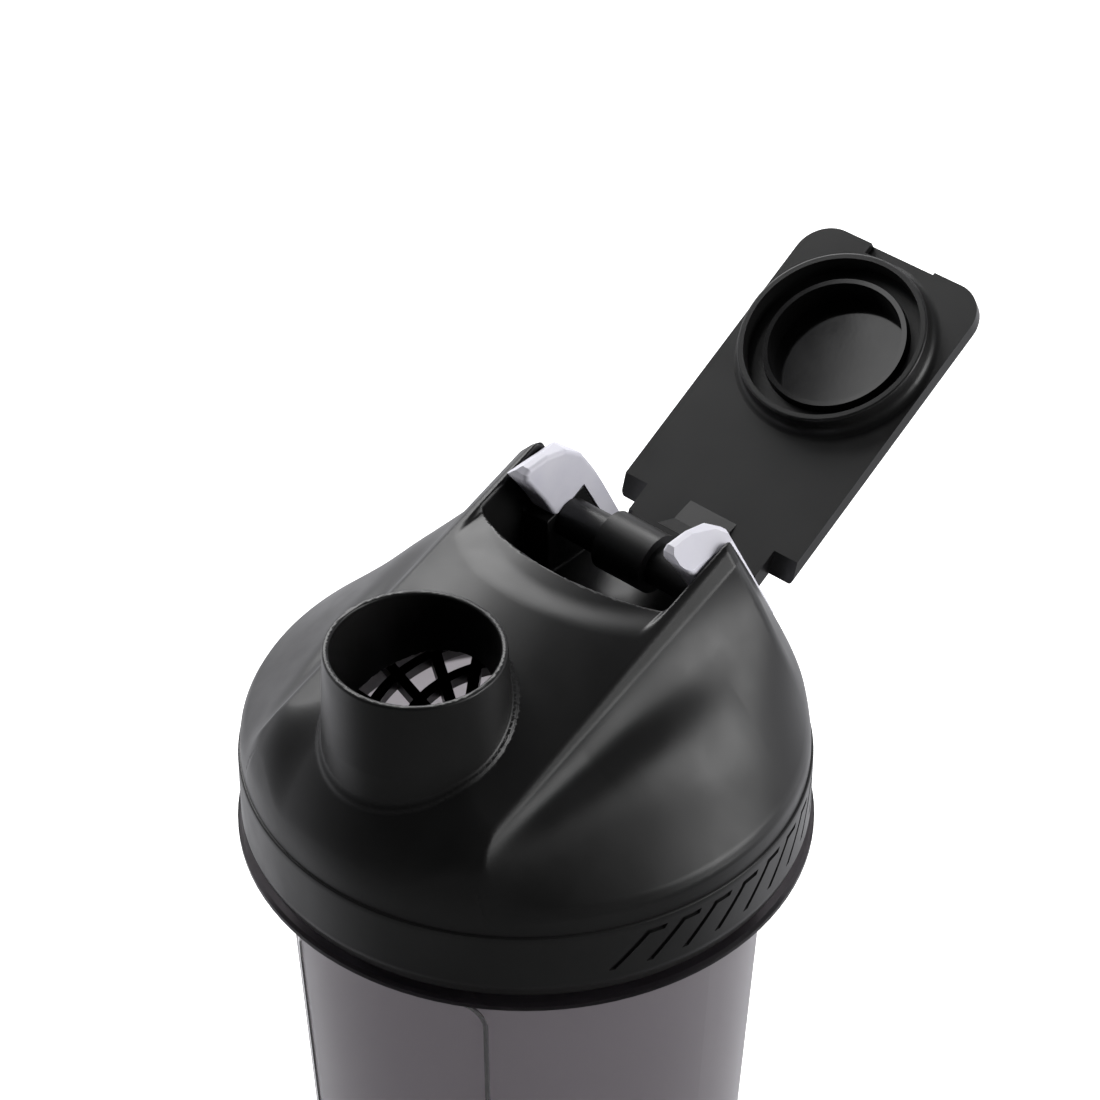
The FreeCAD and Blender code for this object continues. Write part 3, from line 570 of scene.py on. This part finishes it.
def border_path():
    """The border's middle line as (angle in degrees, height), anticlockwise."""
    spots = [(BORDER_RIGHT, BORDER_LOW + 6), (BORDER_RIGHT, -29.0)]
    for a in range(0, 91, 10):
        turn = math.radians(a)
        spots.append((-63.8 + 6 * math.cos(turn), -28.5 + 5.5 * math.sin(turn)))
    spots += [(-63.8 - 3 * i, BORDER_TOP) for i in range(1, 11)]
    spots += [(-93.8 - 2.5 * i, BORDER_TOP - 0.075 * i**2) for i in range(1, 10)]
    spots += [(-118.8, -32.0), (-120.6, -35.5), (BORDER_LEFT, -40.0)]
    spots += [(BORDER_LEFT, BORDER_LOW + 6), (-119.8, BORDER_LOW + 2), (-115.0, BORDER_LOW)]
    spots += [(-115.0 + 3 * i, BORDER_LOW) for i in range(1, 18)]
    spots += [(-59.2, BORDER_LOW + 2)]
    path = []
    for (a, z), (b, w) in zip(spots, spots[1:] + spots[:1]):
        pieces = max(1, math.ceil(math.hypot((b - a) * 0.7, w - z) / 1.5))
        path += [(a + (b - a) * i / pieces, z + (w - z) * i / pieces) for i in range(pieces)]
    return path


def border_place(path, row, corner):
    """A corner of the border's section at one place of its path."""
    (a0, z0), (a1, z1) = path[row - 1], path[(row + 1) % len(path)]
    angle, height = path[row]
    run, rise = math.radians(a1 - a0) * CUP_MIDDLE, z1 - z0
    length = math.hypot(run, rise)
    sideways, proud = ((-1, -0.2), (-0.7, 1), (0.7, 1), (1, -0.2))[corner]
    along = -rise / length * sideways * BORDER_HALF
    height += run / length * sideways * BORDER_HALF
    radius = cup_radius(height) + proud * BORDER_HEIGHT
    turn = math.radians(angle) + along / CUP_MIDDLE
    return radius * math.cos(turn), radius * math.sin(turn), height


path = border_path()
points, faces = lattice(range(len(path)), range(4), lambda r, c: border_place(path, r, c), closed=True)
last = 4 * (len(path) - 1)
faces += [(last + c, last + (c + 1) % 4, (c + 1) % 4, c) for c in range(4)]
border = mesh_object("cup_panel_border", points, faces, border_smoke.material)
border.data.set_sharp_from_angle(angle=math.radians(40))
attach(border, "cup")

# ---- camera ----
camera = bpy.data.objects.new("camera", bpy.data.cameras.new("camera"))
bpy.context.scene.collection.objects.link(camera)
camera.data.sensor_width = 36
camera.data.lens = 4000 / 1100 * 36
camera.location = (0.3418, -0.3823, 0.6299)
forward = Vector((-0.51644, 0.58706, -0.62346))
camera.rotation_euler = forward.to_track_quat("-Z", "Y").to_euler()
bpy.context.scene.camera = camera

# ---- floor ----
mesh = bpy.data.meshes.new("floor")
mesh.from_pydata([(-4, -4, 0), (4, -4, 0), (4, 4, 0), (-4, 4, 0)], [], [(0, 1, 2, 3)])
floor = bpy.data.objects.new("floor", mesh)
bpy.context.scene.collection.objects.link(floor)
paper = Finish("floor_paper", grey(248), 0.9)
paper.vary_colour(paper.noise(0.5, 3), grey(247), grey(250))
paper.shader.inputs["Emission Color"].default_value = (1, 1, 1, 1)
paper.shader.inputs["Emission Strength"].default_value = 0.8
floor.data.materials.append(paper.material)
# The black plastic reflects the studio's dark side and not the bright floor.
floor.visible_glossy = False
floor.visible_shadow = False

# ---- light ----
world = bpy.data.worlds.new("studio")
bpy.context.scene.world = world
world.use_nodes = True
sky = world.node_tree
back = sky.nodes["Background"]
coords = sky.nodes.new("ShaderNodeTexCoord")


def sky_ramp(axis, *stops):
    """Brightness of the surroundings along an axis, as (cosine, level) stops."""
    dot = sky.nodes.new("ShaderNodeVectorMath")
    dot.operation = "DOT_PRODUCT"
    dot.inputs[1].default_value = axis
    sky.links.new(coords.outputs["Generated"], dot.inputs[0])
    spread = sky.nodes.new("ShaderNodeMapRange")
    spread.inputs["From Min"].default_value = -1
    sky.links.new(dot.outputs["Value"], spread.inputs["Value"])
    ramp = sky.nodes.new("ShaderNodeValToRGB")
    sky.links.new(spread.outputs["Result"], ramp.inputs["Fac"])
    elements = ramp.color_ramp.elements
    while len(elements) < len(stops):
        elements.new(0.5)
    for element, (cosine, level) in zip(elements, stops):
        element.position = (cosine + 1) / 2
        element.color = (level, level, level * 1.02, 1)
    return ramp.outputs["Color"]


sides = sky_ramp((0.66, -0.75, 0.0), (-0.6, 1.0), (-0.1, 0.75), (0.25, 0.07))
height = sky_ramp((0.0, 0.0, 1.0), (0.1, 1.0), (0.45, 0.25))
both = sky.nodes.new("ShaderNodeMix")
both.data_type = "RGBA"
both.blend_type = "MULTIPLY"
both.inputs["Factor"].default_value = 1.0
sky.links.new(sides, both.inputs["A"])
sky.links.new(height, both.inputs["B"])
sky.links.new(both.outputs["Result"], back.inputs["Color"])
back.inputs["Strength"].default_value = 1.0


def softbox(name, place, aim, size, power):
    """A rectangular lamp at a place, turned towards a point."""
    lamp = bpy.data.lights.new(name, "AREA")
    lamp.shape = "RECTANGLE"
    lamp.size, lamp.size_y = size
    lamp.energy = power
    o = bpy.data.objects.new(name, lamp)
    o.location = place
    o.rotation_euler = (Vector(aim) - Vector(place)).to_track_quat("-Z", "Y").to_euler()
    bpy.context.scene.collection.objects.link(o)


LID = (0, 0, 0.19)
PLUG = (0, 0.0845, 0.2142)
softbox("key", (-0.9, 0.5, 0.9), LID, (0.9, 0.7), 14)
softbox("glint", (-0.5246, -0.0279, 1.2896), PLUG, (0.3, 0.12), 0.25)
softbox("side", (0.9, 0.5, 0.6), LID, (0.5, 0.7), 8)

bpy.context.scene.view_settings.view_transform = "Standard"
